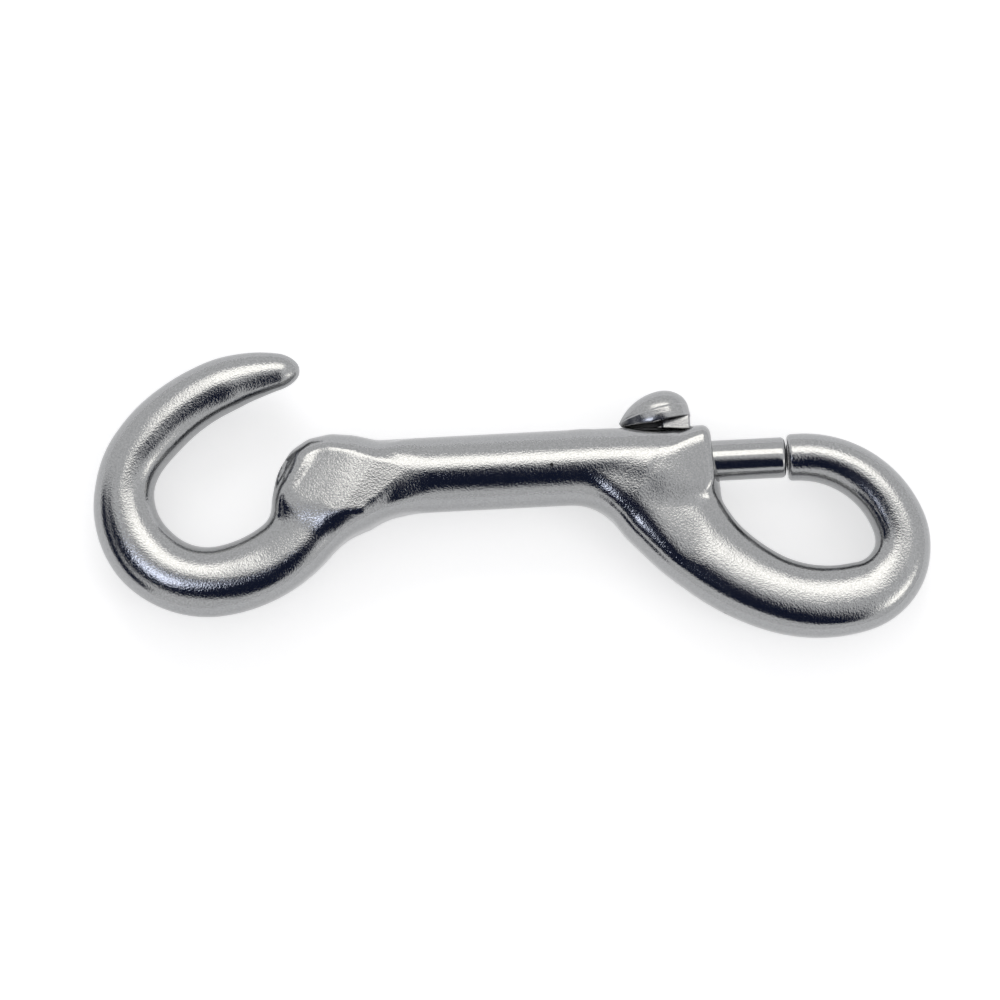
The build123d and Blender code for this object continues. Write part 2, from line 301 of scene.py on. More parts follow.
middle = np.concatenate([hook_middle, barrel_middle, loop_middle])
heading = np.concatenate([hook_heading - math.pi, 0 * barrel_at, loop_heading])
half_width, half_thickness = np.concatenate([hook_half, barrel_half, loop_half], axis=1)
squareness = np.concatenate([
    eased(HOOK_SQUARENESS, hook_at), 2 + 0 * barrel_at, eased(LOOP_SQUARENESS, loop_at)])
wedge = np.concatenate([eased(HOOK_WEDGES, hook_at), 0 * barrel_at, eased(LOOP_WEDGES, loop_at)])
left = np.stack([-np.sin(heading), np.cos(heading)], axis=-1)
print(len(middle), "rings in all, from", middle[0].round(1), "to", middle[-1].round(1))

# %% [markdown]
# ## Forms as distances
# The barrel pokes out of both rods, so a ring there is neither an oval nor a circle. It is simpler to say
# for any point how far it is outside each form, and to let the skin settle where that distance is nought.
# Such distances are easy to join: the lesser of two is both forms together, and the greater is what they
# share. Rounding that choice off gives a fillet or a rounded edge.


# %% Distances and how they join
def in_both(first, second, radius):
    """Distance outside what two forms share, with the edge between them rounded to the radius."""
    a, b = first + radius, second + radius
    return np.minimum(np.maximum(a, b), 0) + np.hypot(np.maximum(a, 0), np.maximum(b, 0)) - radius


def in_either(first, second, reach):
    """Distance outside two forms together: the lesser, less a blend where they differ by under the reach."""
    near = np.maximum(reach - np.abs(first - second), 0)
    return np.minimum(first, second) - near ** 2 / (4 * np.maximum(reach, 1e-6))


def oval_distance(across, up, half_across, half_up, power):
    """Rough distance outside an oval: its scaled radius less one, times the smaller half size.

    A power of 2 gives an ellipse, and a higher one flatter sides and fuller corners.
    """
    scaled = (np.abs(across / half_across) ** power + np.abs(up / half_up) ** power) ** (1 / power)
    return (scaled - 1) * np.minimum(half_across, half_up)


def share_between(value, start, end):
    """How far a value is from start to end, from 0 to 1, setting off and arriving gently."""
    share = np.clip((value - start) / (end - start), 0, 1)
    return share * share * (3 - 2 * share)


print("rounding a square corner by 1 mm takes off", round(float(in_both(0.0, 0.0, 1.0)), 2), "mm")

# %% [markdown]
# ## The barrel
# The barrel's rear was pinched in a press, which spread it into a low boss, and its mouth is faced off and
# rounded. Its stations give the lowest and highest Y and the thickness at each X. The boss stands on the
# knob's side, so the pinched rear isn't even about the axis.

# %% Stations of the barrel
BARREL_STATIONS = np.array([  # X, lowest Y, highest Y, thickness
    (-58.4, -2.9, -0.6, 5.6),
    (-57.3, -3.3, 1.2, 6.6),
    (-55.4, -3.8, 4.1, 7.9),
    (-53.0, -4.1, 5.6, 8.7),
    (-50.0, -4.4, 6.1, 9.3),
    (-47.0, -4.7, 5.75, 9.75),
    (-44.0, -4.85, 4.95, 10.0),
    (-40.0, -5.0, 5.0, 10.0),
    (-14.0, -5.0, 5.05, 10.0),
    (0.0, -4.6, 4.65, 9.6),
    (4.0, -4.5, 4.55, 9.5)])
MOUTH_RIM, REAR_ROUND = 1.2, 0.9  # roundings of the two ends
REAR_X = -57.4
STATION_EASE = 1.1
station_x = np.linspace(-59, 4, 1261)  # every 0.05 mm
station_low, station_high, station_thick = (
    eased(BARREL_STATIONS[:, (0, column)], station_x, reach=STATION_EASE) for column in (1, 2, 3))
print("barrel is up to", (station_high - station_low).max().round(2), "mm wide where it was pinched")

# %% [markdown]
# ## The sloping flats
# Where the limb leaves the barrel, the top of the casting slopes down to the mouth from a slanting crease.
# The pinched rear has such a flat too, which slopes down to the hook. A crease is a foot and the direction
# square to it. Its flat is a plane that stays clear of the barrel before it and falls away past it.

# %% Sloping flats
WEB_FOOT, WEB_ACROSS = np.array([-6.9, -0.3]), np.array([0.865, -0.502])  # on the crease, and square to it
PINCH_FOOT, PINCH_ACROSS = np.array([-48.3, -2.0]), np.array([-0.819, 0.575])
WEB_SLOPE, WEB_REACH = 0.12, (8.0, 16.0)  # the flat lies between its crease and the second distance
PINCH_SLOPE, PINCH_REACH = 0.15, (5.5, 9.0)
CREASE_ROUND = 0.5
FLAT_CLEAR, CLEAR_RUN = 0.8, 3.0  # before its crease, a flat's plane is clear of the barrel within this run


def past(foot, across, x, y):
    """Distance past a crease, square to it."""
    return (x - foot[0]) * across[0] + (y - foot[1]) * across[1]


def flat_distance(beyond, slope, reach, z):
    """Distance above a sloping flat: over the barrel at first, falling from the crease, then clear again."""
    gone = (np.hypot(beyond, CREASE_ROUND) + beyond) / 2
    fall = slope * gone * share_between(-beyond, -reach[1], -reach[0])
    return np.abs(z) - (BARREL_R + FLAT_CLEAR * share_between(-beyond, 0.0, CLEAR_RUN) - fall)


print("the web's flat slopes by", round(math.degrees(math.atan(WEB_SLOPE)), 1), "degrees")

# %% [markdown]
# ## Outside the barrel
# The barrel is an oval that follows its stations. How square the oval is changes too: it is round where it
# was only cast, and squarer where web, flat or press gave it shoulders.


# %% Distance outside the barrel
def barrel_distance(x, y, z):
    """Distance outside the barrel: an oval whose sizes follow the stations, faced off at both ends.

    It is round between its ends. It is squarer past the web's crease, a little squarer where it was pinched,
    and squarest along the lower edge just before the pinch.
    """
    stations = (station_low, station_high, station_thick)
    low, high, thick = (np.interp(x, station_x, sizes) for sizes in stations)
    web, pinch = past(WEB_FOOT, WEB_ACROSS, x, y), past(PINCH_FOOT, PINCH_ACROSS, x, y)
    before_pinch = share_between(pinch, -7, -3) - share_between(pinch, -0.5, 2.5)
    lower_edge = before_pinch * (1 - share_between(y, -1, 2.5))
    power = 2 + 1.3 * share_between(web, 0, 4) + 0.3 * share_between(pinch, -1, 3) + 1.2 * lower_edge
    side = oval_distance(y - (low + high) / 2, z, (high - low) / 2, thick / 2, power)
    return in_both(in_both(side, x, MOUTH_RIM), REAR_X - x, REAR_ROUND)


print("a point 6 mm over the axis is", round(float(barrel_distance(-30.0, 0.0, 6.0)), 2), "mm outside")

# %% [markdown]
# ## The chisel marks
# One blow of a chisel on each side closed the barrel's end. It left a steep wall with fine ridges, and a
# thin nose beyond that runs into the hook.

# %% Chisel marks
STRIKE_TOP, STRIKE_BOTTOM = np.array([-54.8, 5.0]), np.array([-56.9, -0.4])
STRIKE_Z = 2.3  # height of the wall's foot
WALL_SLOPE, NOSE_SLOPE = 1.1, 0.1
STRIKE_FROM_X = -50  # the marks are on the rear only
NOT_STRUCK = -1.0  # below any skin, so that the mark has no say there
strike_length = np.hypot(*(STRIKE_BOTTOM - STRIKE_TOP))
strike_ahead = (STRIKE_BOTTOM - STRIKE_TOP) / strike_length
strike_across = np.array([-strike_ahead[1], strike_ahead[0]])  # towards the barrel
RIDGES = ((0.025, 9.0), (0.02, 8.3))  # height, and how closely they follow each other


def strike_distance(x, y, z):
    """Distance above the chisel mark: a steep wall towards the barrel, and a nearly level nose beyond it.

    Two sets of sine ridges roughen the wall, one along the blow and bent a little, one across it.
    """
    beyond = past(STRIKE_TOP, strike_across, x, y)
    (long_high, long_close), (cross_high, cross_close) = RIDGES
    ridges = long_high * np.sin(beyond * long_close + 1.3 * np.sin(y * 2.1))
    ridges = ridges + cross_high * np.sin(y * cross_close + x * 5.1)
    wall = (np.abs(z) - STRIKE_Z - WALL_SLOPE * beyond - ridges) / math.hypot(1, WALL_SLOPE)
    nose = np.abs(z) - STRIKE_Z - NOSE_SLOPE * beyond
    return np.where(x < STRIKE_FROM_X, np.minimum(wall, nose), NOT_STRUCK)


print("the struck wall is", strike_length.round(1), "mm long")

# %% [markdown]
# ## Rays and blends
# From the middle of a ring, a ray goes out at each angle. The rays stand closer together on the knob's side,
# where the mouth's rim and the rear boss are. Where a rod leaves the barrel, a fillet joins the two. It
# grows from nothing along the rod, and it is wider on the hook, so that the pinched rear runs into the neck.

# %% Rays and reach of the blend
RAYS = 104
RAY_CROWDING = 0.42
HOOK_BLEND, LOOP_BLEND, LEAST_BLEND = 4.0, 2.4, 0.001
BLEND_FROM = 2.0  # how far out on the rods the blend begins
ray = np.linspace(0, 2 * math.pi, RAYS, endpoint=False)
ray = ray - RAY_CROWDING * np.sin(ray)
ray_cos, ray_sin = np.cos(ray), np.sin(ray)


def blend_growth(at, run, power):
    """Share of the full blend: nothing up to where it begins, then a power of the share of its run."""
    return np.clip((at - BLEND_FROM) / run, 0, 1) ** power


blend_reach = LEAST_BLEND + np.concatenate([
    HOOK_BLEND * blend_growth(hook_at, 8.0, 2), 0 * barrel_at, LOOP_BLEND * blend_growth(loop_at, 10.0, 3)])
print(len(middle) * RAYS, "rays")

# %% [markdown]
# ## Outside the casting
# Here the forms come together. Rod and barrel are blended into one, and no point may stand higher than the
# barrel's radius, since the mould is no deeper. The two flats are then planed off.

# %% Distance outside the casting
STRIKE_EDGE, FLAT_EDGE = 0.25, 0.3  # roundings of the edges that they cut


def casting_points(radius):
    """Point at a radius along each ray: the middle, plus cosine times left, plus sine times up."""
    x = middle[:, :1] + radius * ray_cos * left[:, :1]
    y = middle[:, 1:] + radius * ray_cos * left[:, 1:]
    return x, y, radius * ray_sin


def casting_distance(radius):
    """Distance outside the casting: rod and barrel blended into one, under the flats and the chisel marks."""
    x, y, z = casting_points(radius)
    across, half_across = radius * ray_cos, half_width[:, None]
    half_up = half_thickness[:, None] * (1 - wedge[:, None] * np.clip(across / half_across, -1, 1))
    rod = oval_distance(across, z, half_across, half_up, squareness[:, None])
    barrel = in_both(barrel_distance(x, y, z), strike_distance(x, y, z), STRIKE_EDGE)
    both = np.maximum(in_either(rod, barrel, blend_reach[:, None]), np.abs(z) - BARREL_R)
    web = flat_distance(past(WEB_FOOT, WEB_ACROSS, x, y), WEB_SLOPE, WEB_REACH, z)
    pinch = flat_distance(past(PINCH_FOOT, PINCH_ACROSS, x, y), PINCH_SLOPE, PINCH_REACH, z)
    return in_both(in_both(both, web, FLAT_EDGE), pinch, FLAT_EDGE)


at_start = casting_distance(np.zeros((len(middle), RAYS)))
print("rays that start inside the casting:", int((at_start < 0).sum()), "of", at_start.size)

# %% [markdown]
# ## Settling the skin
# Halving the stretch that holds the surface, again and again, finds where each ray comes out of the casting.
# All rays are halved at once, as one array, and thirty halvings are far finer than any mould.

# %% Radius of every ray
LONGEST_RAY, HALVINGS = 14.0, 30
inner = np.zeros((len(middle), RAYS))
outer = np.full((len(middle), RAYS), LONGEST_RAY)
for _ in range(HALVINGS):
    halfway = (inner + outer) / 2
    outside = casting_distance(halfway) > 0
    inner, outer = np.where(outside, inner, halfway), np.where(outside, halfway, outer)
casting_rings = np.stack(casting_points(outer), axis=-1)
skin_points = casting_rings.reshape(-1, 3)
print("casting spans", skin_points.min(axis=0).round(2), "to", skin_points.max(axis=0).round(2), "mm")

# %% [markdown]
# ## Bore and slot
# The bore for the bolt and its spring is drilled from the mouth, and the slot for the knob's neck is milled
# in from the side. They are cut out of the skin with a Boolean, as the drill and the cutter would.

# %% Cutters for the bore and the slot
BORE_R, BORE_DEPTH = 2.8, 50.5
BORE_RELIEF = 2.0  # how far the cutter starts outside the mouth, where it also trims the limb
SLOT_MIDDLE_X, SLOT_LENGTH, SLOT_WIDTH, SLOT_CORNER = -9.4, 14.4, 3.0, 0.4
SLOT_TOP_Y = 9  # above any skin
TURNED_SIDES, CORNER_SIDES = 96, 48


def turned_rings(x, radius, sides):
    """Rings of a turned piece on the barrel's axis: each x has its radius."""
    turn = np.linspace(0, 2 * math.pi, sides, endpoint=False)
    x, radius = (np.asarray(values, dtype=float)[:, None] for values in (x, radius))
    return np.stack([x + 0 * turn, radius * np.cos(turn), radius * np.sin(turn)], axis=-1)


def rounded_square(turn, half_long, half_wide, corner):
    """Points round a rectangle with rounded corners: a small circle, pushed out to each corner's middle."""
    long = np.sign(np.cos(turn)) * (half_long - corner) + corner * np.cos(turn)
    wide = np.sign(np.sin(turn)) * (half_wide - corner) + corner * np.sin(turn)
    return long, wide


bore_cutter = piece_from_rings("bore_cutter", turned_rings(
    [-BORE_DEPTH, -BORE_DEPTH, BORE_RELIEF, BORE_RELIEF], [0.5, BORE_R, BORE_R, 0.5], TURNED_SIDES))
corner_turn = np.linspace(0, 2 * math.pi, CORNER_SIDES, endpoint=False) + math.pi / CORNER_SIDES
slot_long, slot_wide = rounded_square(corner_turn, SLOT_LENGTH / 2, SLOT_WIDTH / 2, SLOT_CORNER)
slot_shrink = np.array([0.5, 1, 1, 0.5])[:, None]
slot_y = np.array([0, 0, SLOT_TOP_Y, SLOT_TOP_Y])[:, None]
slot_cutter = piece_from_rings("slot_cutter", np.stack([
    SLOT_MIDDLE_X - slot_long * slot_shrink, slot_y + 0 * slot_long, slot_wide * slot_shrink], axis=-1))

# %% [markdown]
# ## The casting
# The skin becomes a mesh, and each point keeps how far out to the side it lies, as an attribute named
# flank: one at the inner and outer edges of the rods, nought on top. The finish reads it later. The cut
# mesh is then put in place of the modifiers, since the frame wants finished pieces.

# %% The casting
CASTING_EDGE = math.radians(38)  # faces that meet at more than this keep a sharp edge between them
casting = piece_from_rings("casting", casting_rings)
sideways = np.abs(np.concatenate([np.tile(ray_cos, len(middle)), [0, 0]]))
flank = casting.data.attributes.new("flank", "FLOAT", "POINT")
flank.data.foreach_set("value", sideways.astype(np.float32))
for cutter in (bore_cutter, slot_cutter):
    cut = casting.modifiers.new("cut", "BOOLEAN")
    cut.operation, cut.solver, cut.object = "DIFFERENCE", "EXACT", cutter
cut_mesh = bpy.data.meshes.new_from_object(casting.evaluated_get(bpy.context.evaluated_depsgraph_get()))
casting.modifiers.clear()
casting.data = cut_mesh
for cutter in (bore_cutter, slot_cutter):
    bpy.data.objects.remove(cutter)
cut_mesh.set_sharp_from_angle(angle=CASTING_EDGE)
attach(casting, "frame")
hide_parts("body")
print("casting has", len(cut_mesh.polygons), "faces once cut")

# %% [markdown]
# ## The bolt
# The bolt is turned from bar: a plain pin with its two ends rounded over. Turning is exactly what the rings
# do, with a radius for each place along the axis.

# %% Bolt
BOLT_R, BOLT_EDGE, BOLT_LENGTH = 2.7, 0.5, 18.3
BOLT_REAR_X = NOSE_X - BOLT_LENGTH
SHANK_RINGS = 40
edge_in, edge_inset = rounding(BOLT_EDGE, 8)
face_r = np.array([0.3, 1.2, BOLT_R - BOLT_EDGE - 0.1])
bolt_x = np.concatenate([
    np.full(len(face_r), BOLT_REAR_X), BOLT_REAR_X + BOLT_EDGE - edge_in[::-1],
    np.linspace(BOLT_REAR_X + 1, NOSE_X - 1, SHANK_RINGS),
    NOSE_X - BOLT_EDGE + edge_in, np.full(len(face_r), NOSE_X)])
bolt_r = np.concatenate([
    face_r, BOLT_R - edge_inset[::-1], np.full(SHANK_RINGS, BOLT_R), BOLT_R - edge_inset, face_r[::-1]])
bolt = piece_from_rings("bolt_pin", turned_rings(bolt_x, bolt_r, TURNED_SIDES))
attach(bolt, "slider")
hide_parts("bolt")

# %% [markdown]
# ## The thumb knob
# The knob is a small casting too: a drop-shaped dome for the thumb on a deep rim, hollow underneath, with a
# flat neck that runs in the slot. From above, the dome is a drop: it starts in a point at the rear, grows
# along an arc to its widest place, and closes in half an ellipse at the front.

# %% Outline of the dome
DOME_TIP, DOME_FRONT = np.array([-11.9, 5.6]), np.array([-2.6, 7.5])
DOME_PEAK, DOME_R = 5.9, 3.1  # the widest place along the base, and half the width there
dome_length = float(np.hypot(*(DOME_FRONT - DOME_TIP)))
base_ahead = (DOME_FRONT - DOME_TIP) / dome_length
base_up = np.array([-base_ahead[1], base_ahead[0]])


def drop_outline(at):
    """Half width of the drop along its base: an arc that grows from the tip, then an ellipse to the front."""
    arc_r = (DOME_PEAK ** 2 + DOME_R ** 2) / (2 * DOME_R)
    rear = np.sqrt(np.maximum(arc_r ** 2 - (at - DOME_PEAK) ** 2, 0)) - (arc_r - DOME_R)
    front = DOME_R * np.sqrt(np.maximum(1 - ((at - DOME_PEAK) / (dome_length - DOME_PEAK)) ** 2, 0))
    return np.where(at < DOME_PEAK, rear, front)


print("the dome is", round(dome_length, 2), "mm long and", 2 * DOME_R, "mm wide")

# %% [markdown]
# ## Dome, rim and hollow
# Each ring stands square to the dome's base. It is a half circle with a low bead at its foot, closed by the
# rim and a sunk floor, and its size follows the drop's outline. The rim is as deep as the barrel below it
# leaves room for.

# %% Dome, rim and hollow
RIM_T, RIM_CLEARANCE = 1.3, 0.15  # the rim's depth, and what it leaves to the barrel where that is less
HOLLOW_DEPTH = 0.3
LAND, HOLLOW_LEAN = 0.72, 0.04  # where the rim's foot ends, and how far the hollow's wall leans in from there
BEAD = 0.045  # how far the bead stands out of the dome; this and the two above are shares of the half width
ARCH_POINTS = 97
RIM_FULL_FROM = 0.4  # half width from which the rim has its full depth
quarter = np.linspace(0, math.pi / 2, 50)
dome_at = np.concatenate([
    DOME_PEAK * (1 - np.cos(quarter)), DOME_PEAK + (dome_length - DOME_PEAK) * np.sin(quarter)[1:]])[:, None]
dome_size = np.maximum(drop_outline(dome_at), 0.01)
arch = math.pi / 2 * (1 - np.cos(np.linspace(0, math.pi, ARCH_POINTS)))  # closer together at the rim
round_r = 1 - BEAD * share_between(np.sin(arch), 0.04, 0.15)
half_underside = np.array([  # share of the half width, then height: -1 at the rim's foot, over 0 inside
    (0.3, HOLLOW_DEPTH), (LAND - HOLLOW_LEAN, HOLLOW_DEPTH),
    (LAND, -1), (0.85, -1), (0.97, -1), (1, -0.8), (1, -0.3)])
underside = np.concatenate([half_underside[::-1] * (-1, 1), half_underside])
side_share = np.concatenate([round_r * np.cos(arch), underside[:, 0]])
rise_share = np.concatenate([round_r * np.sin(arch), 0 * underside[:, 0]])
drop_share = np.concatenate([0 * arch, underside[:, 1]])
room = DOME_TIP[1] + dome_at * base_ahead[1] - BARREL_R - RIM_CLEARANCE
rim_size = np.minimum(1, dome_size / RIM_FULL_FROM) * np.minimum(RIM_T, room)
dome_side = dome_size * side_share
dome_rise = dome_size * rise_share + rim_size * drop_share
dome_ahead = dome_at + 0 * dome_side
dome_rings = np.stack([
    DOME_TIP[0] + dome_ahead * base_ahead[0] + dome_rise * base_up[0],
    DOME_TIP[1] + dome_ahead * base_ahead[1] + dome_rise * base_up[1],
    -dome_side], axis=-1)
dome = piece_from_rings("knob_dome", dome_rings)

# %% [markdown]
# ## What holds the knob
# Under the dome, a flat neck goes down through the slot and turns into a round stem, which is pressed into a
# cross hole of the bolt. One set of rings serves for both: it passes from a circle to a rounded rectangle.

# %% Neck and stem of the knob
NECK_LENGTH, NECK_T, NECK_CORNER, NECK_FRONT_X = 3.8, 2.6, 0.35, -2.5
STEM_R = 1.15
KNOB_EDGE = math.radians(40)
neck_x = NECK_FRONT_X - NECK_LENGTH / 2
neck_stations = np.array([  # Y, share of the way from stem to neck, share of the full size
    (-1.7, 0, 0.4), (-1.7, 0, 1), (1.6, 0, 1), (1.9, 0.5, 1), (2.2, 1, 1),
    (4.6, 1, 1), (5.4, 1, 1), (6.2, 1, 1), (6.9, 1, 0.9)])
neck_y, to_square, neck_shrink = neck_stations.T[:, :, None]
square_x, square_z = rounded_square(corner_turn, NECK_LENGTH / 2, NECK_T / 2, NECK_CORNER)
ring_x = neck_shrink * (to_square * square_x + (1 - to_square) * STEM_R * np.cos(corner_turn))
ring_z = neck_shrink * (to_square * square_z + (1 - to_square) * STEM_R * np.sin(corner_turn))
neck = piece_from_rings("knob_neck", np.stack([neck_x - ring_x, neck_y + 0 * ring_x, ring_z], axis=-1))
for part in (dome, neck):
    part.data.set_sharp_from_angle(angle=KNOB_EDGE)
    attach(part, "slider")
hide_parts("thumb_knob")

# %% [markdown]
# ## The spring
# The spring fills the bore behind the bolt and shows only through the slot. It is round wire wound into a
# helix: a small circle carried along a line that goes round as it goes forward. It is wound as long as the
# imported spring; the real one shortens as the bolt comes back.

# %% Spring
WIRE_R, COIL_R, TURNS = 0.275, 2.2, 10
STEPS_A_TURN, WIRE_SIDES = 40, 14
spring_low, spring_high = (np.array(corner) * 1000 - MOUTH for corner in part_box("spring"))
wind = np.linspace(0, 2 * math.pi * TURNS, STEPS_A_TURN * TURNS + 1)[:, None]
wire_start, wire_end = spring_low[0] + WIRE_R, spring_high[0] - WIRE_R
coil_x = wire_start + (wire_end - wire_start) * wind / wind[-1]
around = np.linspace(0, 2 * math.pi, WIRE_SIDES, endpoint=False)
coil_reach = COIL_R + WIRE_R * np.cos(around)
spring = piece_from_rings("spring_wire", np.stack([
    coil_x + WIRE_R * np.sin(around), coil_reach * np.sin(wind), coil_reach * np.cos(wind)], axis=-1))
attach(spring, "frame")
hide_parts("spring")
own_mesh(spring)

# %% [markdown]
# ## Grain of the plated casting
# Under its plating, a sand or die casting keeps a fine, pebbly skin that tumbling only softens. It breaks
# every reflection's edge into sparks. All the metals here have more or less of it, so it is a node group. It
# gives a fine height, a slow wave, a mottle for the gloss, and a mask for the few pits that the plating
# didn't fill. Two small helpers come first, since shader nodes are easier to read at one line each.


# %% Node helpers
def wire(tree, *links):
    """Links each (from socket, to socket)."""
    for start, end in links:
        tree.links.new(start, end)


def node(tree, kind, **values):
    """New node, with its plain attributes and its inputs set by name."""
    made = tree.nodes.new(kind)
    for key, value in values.items():
        if hasattr(made, key):
            setattr(made, key, value)
        else:
            made.inputs[key.replace("_", " ")].default_value = value
    return made


# %% [markdown]
# ## The skin's pattern
# Three noises and one cell pattern are read at the piece's own coordinates. Their sizes are inputs in
# millimetres, because a size says more to a caster than the scale that Blender's textures ask for.

# %% Cast skin, as a group
skin = bpy.data.node_groups.new("cast_skin", "ShaderNodeTree")
for name, value in (("Grain Size", 0.3), ("Wave Size", 4.0), ("Pit Size", 2.2)):
    skin.interface.new_socket(name, in_out="INPUT", socket_type="NodeSocketFloat").default_value = value
for name in ("Height", "Wave", "Pits", "Mottle"):
    skin.interface.new_socket(name, in_out="OUTPUT", socket_type="NodeSocketFloat")
given = node(skin, "NodeGroupInput")
result = node(skin, "NodeGroupOutput")
place = node(skin, "ShaderNodeTexCoord")


def per_metre(size_socket):
    """Noise scale from a size in millimetres: a thousand over the size."""
    divide = node(skin, "ShaderNodeMath", operation="DIVIDE")
    divide.inputs[0].default_value = 1000
    wire(skin, (size_socket, divide.inputs[1]))
    return divide.outputs[0]


grain = node(skin, "ShaderNodeTexNoise", Detail=2.0, Roughness=0.6)
wave = node(skin, "ShaderNodeTexNoise", Detail=1.0, Roughness=0.4)
mottle = node(skin, "ShaderNodeTexNoise", Detail=3.0, Roughness=0.7)
pit = node(skin, "ShaderNodeTexVoronoi", Randomness=1.0)
pit_mask = node(skin, "ShaderNodeMapRange", From_Min=0.02, From_Max=0.04, To_Min=1.0, To_Max=0.0)
wire(skin,
     (place.outputs["Object"], grain.inputs["Vector"]), (place.outputs["Object"], wave.inputs["Vector"]),
     (place.outputs["Object"], pit.inputs["Vector"]), (place.outputs["Object"], mottle.inputs["Vector"]),
     (per_metre(given.outputs["Grain Size"]), grain.inputs["Scale"]),
     (per_metre(given.outputs["Wave Size"]), wave.inputs["Scale"]),
     (per_metre(given.outputs["Wave Size"]), mottle.inputs["Scale"]),
     (per_metre(given.outputs["Pit Size"]), pit.inputs["Scale"]),
     (grain.outputs["Fac"], result.inputs["Height"]), (wave.outputs["Fac"], result.inputs["Wave"]),
     (mottle.outputs["Fac"], result.inputs["Mottle"]),
     (pit.outputs["Distance"], pit_mask.inputs["Value"]), (pit_mask.outputs[0], result.inputs["Pits"]))
print(skin.name, "has", len(skin.nodes), "nodes")

# %% [markdown]
# ## Plated metal
# The plating is a metal of a darkish, nearly neutral grey with a soft gloss. The skin's grain and waves go
# through two Bump nodes, one after the other: the grain is a few hundredths of a millimetre deep, and the
# waves are much broader. The flanks were ground to take off the mould's flash, so they have less grain.

# %% Plated metal
PLATING = (0.335, 0.339, 0.345)
PIT_COLOUR = (0.05, 0.05, 0.055)
GLOSS_SPREAD, SPECKLE = 0.15, 0.28  # shares by which roughness and colour vary about their middle values


def plated(name, colour, roughness, grain_depth, wave_depth, sizes, flanks=False):
    """Metal material with cast skin: grain and waves as bump, mottled roughness, and dark pits.

    Depths and sizes are in millimetres; the sizes are those of the grain, the waves and the pits' spacing.
    """
    material = bpy.data.materials.new(name)
    material.use_nodes = True
    tree = material.node_tree
    shader = tree.nodes["Principled BSDF"]
    shader.inputs["Metallic"].default_value = 1.0
    skin_node = node(tree, "ShaderNodeGroup", node_tree=skin)
    for socket, size in zip(("Grain Size", "Wave Size", "Pit Size"), sizes):
        skin_node.inputs[socket].default_value = size
    fine = node(tree, "ShaderNodeBump", Strength=1.0, Distance=grain_depth / 1000)
    broad = node(tree, "ShaderNodeBump", Strength=1.0, Distance=wave_depth / 1000)
    gloss = node(tree, "ShaderNodeMapRange", From_Min=0.3, From_Max=0.7,
                 To_Min=roughness * (1 - GLOSS_SPREAD), To_Max=roughness * (1 + GLOSS_SPREAD))
    speckle = node(tree, "ShaderNodeMix", data_type="RGBA")
    for socket, share in (("A", 1 - SPECKLE), ("B", 1 + SPECKLE)):
        speckle.inputs[socket].default_value = (*(share * value for value in colour), 1)
    tint = node(tree, "ShaderNodeMix", data_type="RGBA")
    tint.inputs["B"].default_value = (*PIT_COLOUR, 1)
    wire(tree,
         (skin_node.outputs["Wave"], broad.inputs["Height"]),
         (skin_node.outputs["Height"], fine.inputs["Height"]),
         (broad.outputs["Normal"], fine.inputs["Normal"]),
         (fine.outputs["Normal"], shader.inputs["Normal"]),
         (skin_node.outputs["Mottle"], gloss.inputs["Value"]),
         (gloss.outputs[0], shader.inputs["Roughness"]),
         (skin_node.outputs["Height"], speckle.inputs["Factor"]),
         (speckle.outputs["Result"], tint.inputs["A"]),
         (skin_node.outputs["Pits"], tint.inputs["Factor"]),
         (tint.outputs["Result"], shader.inputs["Base Color"]))
    if flanks:
        ground = node(tree, "ShaderNodeAttribute", attribute_name="flank")
        keep = node(tree, "ShaderNodeMapRange", From_Min=0.55, From_Max=0.9, To_Min=1.0, To_Max=0.35)
        wire(tree, (ground.outputs["Fac"], keep.inputs["Value"]), (keep.outputs[0], fine.inputs["Strength"]))
    return material


# %% [markdown]
# ## A finish for each piece
# Castings, bolt and wire differ only in how far they were smoothed. The knob and the bolt were polished
# further, and the spring's wire is drawn smooth. So one function with other depths and sizes serves for all.

# %% Finishes
cast_metal = plated("plated_casting", PLATING, 0.115, 0.034, 0.05, (0.25, 4.0, 9.0), flanks=True)
knob_metal = plated("plated_knob", PLATING, 0.22, 0.014, 0.02, (0.25, 3.0, 20.0))
bolt_metal = plated("plated_bolt", PLATING, 0.12, 0.01, 0.012, (0.2, 2.5, 20.0))
wire_metal = plated("drawn_wire", (0.5, 0.5, 0.51), 0.25, 0.001, 0.0, (0.3, 3.0, 9.0))
finishes = {casting: cast_metal, dome: knob_metal, neck: knob_metal, bolt: bolt_metal, spring: wire_metal}
for piece, metal in finishes.items():
    piece.data.materials.clear()
    piece.data.materials.append(metal)
    print(piece.name, "is finished as", metal.name)

# %% [markdown]
# ## What stands round the snap
# Bright metal shows its surroundings and little else, so lighting it means choosing what it mirrors. All of
# that is stage: flat pieces that glow or take light, and that don't belong to the snap. The Light Path node
# tells what a ray is for, so floor and world can look whiter than the light they give.


# %% Stage helpers
def plane(name, centre, right, up, material):
    """Flat rectangle about its centre, from two half-side vectors in metres."""
    centre, right, up = (np.array(values, dtype=float) for values in (centre, right, up))
    mesh = bpy.data.meshes.new(name)
    corners = [centre - right - up, centre + right - up, centre + right + up, centre - right + up]
    mesh.from_pydata([tuple(corner) for corner in corners], [], [(0, 1, 2, 3)])
    made = bpy.data.objects.new(name, mesh)
    bpy.context.scene.collection.objects.link(made)
    mesh.materials.append(material)
    return made


def glow(name, level):
    """Material that gives off one even colour."""
    material = bpy.data.materials.new(name)
    material.use_nodes = True
    tree = material.node_tree
    tree.nodes.clear()
    shine = node(tree, "ShaderNodeEmission", Strength=1.0)
    shine.inputs["Color"].default_value = (*level, 1)
    wire(tree, (shine.outputs[0], node(tree, "ShaderNodeOutputMaterial").inputs["Surface"]))
    return material


